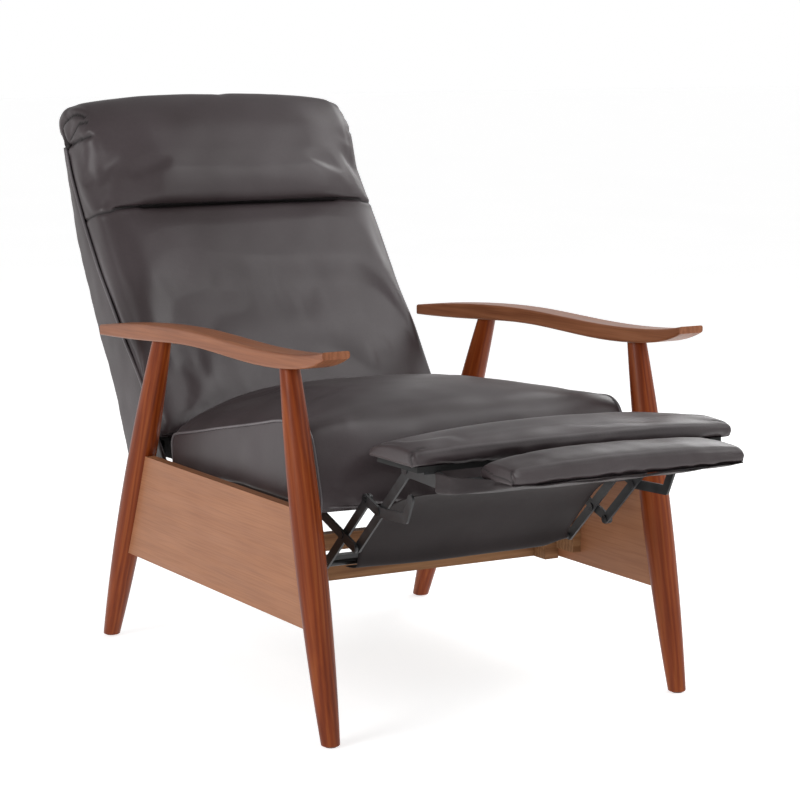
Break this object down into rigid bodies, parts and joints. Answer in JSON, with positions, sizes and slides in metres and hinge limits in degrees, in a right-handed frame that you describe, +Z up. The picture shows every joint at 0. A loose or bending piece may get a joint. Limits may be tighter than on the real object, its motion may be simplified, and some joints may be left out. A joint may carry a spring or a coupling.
{
  "type": "recliner armchair",
  "caption": "Reclining lounge armchair with a turned wooden frame, curved open armrests, padded leather seat and back, and a two-part footrest on a folding steel linkage.",
  "frame": {"origin": "on the floor, under the middle of the chair's overall box with the footrest out", "axes": "+X to the sitter's left, -Y to the front, +Z up"},
  "size_m": [0.71, 1.522, 0.983],
  "materials": {
    "walnut_wood": "reddish walnut stain under satin lacquer",
    "rail_wood": "stained softwood, matt",
    "frame_wood": "plain sawn wood and plywood",
    "leather": "dark grey-brown smooth leather with a soft sheen",
    "black_steel": "black powder coat",
    "pin_steel": "black oxide rivets",
    "dust_cloth": "black non-woven cloth",
    "webbing": "elastic upholstery webbing",
    "glide_plastic": "brown nylon glide"
  },
  "bodies": {
    "frame": {"armrest_left": "walnut_wood", "armrest_right": "walnut_wood", "base_angle_left": "black_steel", "base_angle_right": "black_steel", "base_cross_bar": "black_steel", "corner_blocks": "rail_wood", "foot_glides": "glide_plastic", "front_cross_rail": "rail_wood", "front_leg_left": "walnut_wood", "front_leg_right": "walnut_wood", "rear_cross_rail": "rail_wood", "rear_leg_left": "walnut_wood", "rear_leg_right": "walnut_wood", "side_panel_left": "walnut_wood", "side_panel_right": "walnut_wood", "swing_foot_pins": "pin_steel"},
    "front_swing": {"front_swing_links": "black_steel"},
    "rear_swing": {"rear_swing_links": "black_steel"},
    "seat": {"seat_cushion": "leather", "seat_front_rail": "frame_wood", "seat_plate_left": "black_steel", "seat_plate_pins": "pin_steel", "seat_plate_right": "black_steel", "seat_rear_rail": "frame_wood", "seat_side_rail_left": "frame_wood", "seat_side_rail_right": "frame_wood", "seat_straps": "webbing"},
    "back": {"back_bottom_rail": "frame_wood", "back_bracket_left": "black_steel", "back_bracket_right": "black_steel", "back_cover": "leather", "back_cushion": "leather", "back_dust_cloth": "dust_cloth", "back_lumbar_rail": "frame_wood", "back_side_board_left": "frame_wood", "back_side_board_right": "frame_wood", "back_straps": "webbing", "back_top_rail": "frame_wood", "head_cushion": "leather"},
    "rear_link": {"rear_footrest_link_left": "black_steel", "rear_footrest_link_right": "black_steel", "rear_link_pins": "pin_steel"},
    "front_link": {"front_footrest_link_left": "black_steel", "front_footrest_link_right": "black_steel", "front_link_pins": "pin_steel"},
    "long_link": {"long_footrest_link_left": "black_steel", "long_footrest_link_right": "black_steel", "top_link_pins": "pin_steel", "apron_bar": "black_steel", "apron": "leather"},
    "top_link": {"top_footrest_link_left": "black_steel", "top_footrest_link_right": "black_steel"},
    "footrest": {"footrest_brackets": "black_steel", "main_footrest_board": "frame_wood", "main_footrest_pad": "leather", "flipper_pins": "pin_steel"},
    "flipper": {"flipper_brackets": "black_steel", "flipper_board": "frame_wood", "flipper_pad": "leather", "flipper_band": "leather"}
  },
  "joints": [
    {"name": "back_recline", "type": "hinge", "parent": "seat", "child": "back", "pos_m": [0, 0.322, 0.368], "axis": [-1, 0, 0], "range_deg": [-9, 14]},
    {"name": "seat_swing_rear", "type": "hinge", "parent": "frame", "child": "rear_swing", "pos_m": [0, 0.205, 0.221], "axis": [1, 0, 0], "range_deg": [-9, 14]},
    {"name": "seat_swing_front", "type": "hinge", "parent": "frame", "child": "front_swing", "pos_m": [0, -0.005, 0.221], "axis": [1, 0, 0], "range_deg": [-9, 14]},
    {"name": "seat_level", "type": "hinge", "parent": "rear_swing", "child": "seat", "pos_m": [0, 0.21197, 0.3007], "axis": [-1, 0, 0], "range_deg": [-9, 14]},
    {"name": "footrest_fold", "type": "hinge", "parent": "seat", "child": "rear_link", "pos_m": [0, -0.2, 0.34], "axis": [1, 0, 0], "range_deg": [0, 120]},
    {"name": "front_link_pivot", "type": "hinge", "parent": "rear_link", "child": "front_link", "pos_m": [0, -0.343, 0.292], "axis": [-1, 0, 0], "range_deg": [0, 93]},
    {"name": "long_link_pivot", "type": "hinge", "parent": "rear_link", "child": "long_link", "pos_m": [0, -0.30101, 0.3061], "axis": [-1, 0, 0], "range_deg": [0, 93], "deforming": ["apron"]},
    {"name": "top_link_pivot", "type": "hinge", "parent": "long_link", "child": "top_link", "pos_m": [0, -0.379, 0.377], "axis": [1, 0, 0], "range_deg": [0, 93]},
    {"name": "footrest_pivot", "type": "hinge", "parent": "front_link", "child": "footrest", "pos_m": [0, -0.508, 0.442], "axis": [1, 0, 0], "range_deg": [0, 60]},
    {"name": "flipper_pivot", "type": "hinge", "parent": "footrest", "child": "flipper", "pos_m": [0, -0.622, 0.437], "axis": [1, 0, 0], "range_deg": [0, 174]}
  ],
  "couplings": [
    {"joint": "seat_swing_rear", "follows": "back_recline", "ratio": 1},
    {"joint": "seat_swing_front", "follows": "back_recline", "ratio": 1},
    {"joint": "seat_level", "follows": "back_recline", "ratio": 1},
    {"joint": "front_link_pivot", "follows": "footrest_fold", "ratio": 0.775},
    {"joint": "long_link_pivot", "follows": "footrest_fold", "ratio": 0.775},
    {"joint": "top_link_pivot", "follows": "footrest_fold", "ratio": 0.775},
    {"joint": "footrest_pivot", "follows": "footrest_fold", "ratio": 0.5},
    {"joint": "flipper_pivot", "follows": "footrest_fold", "ratio": 1.45}
  ]
}
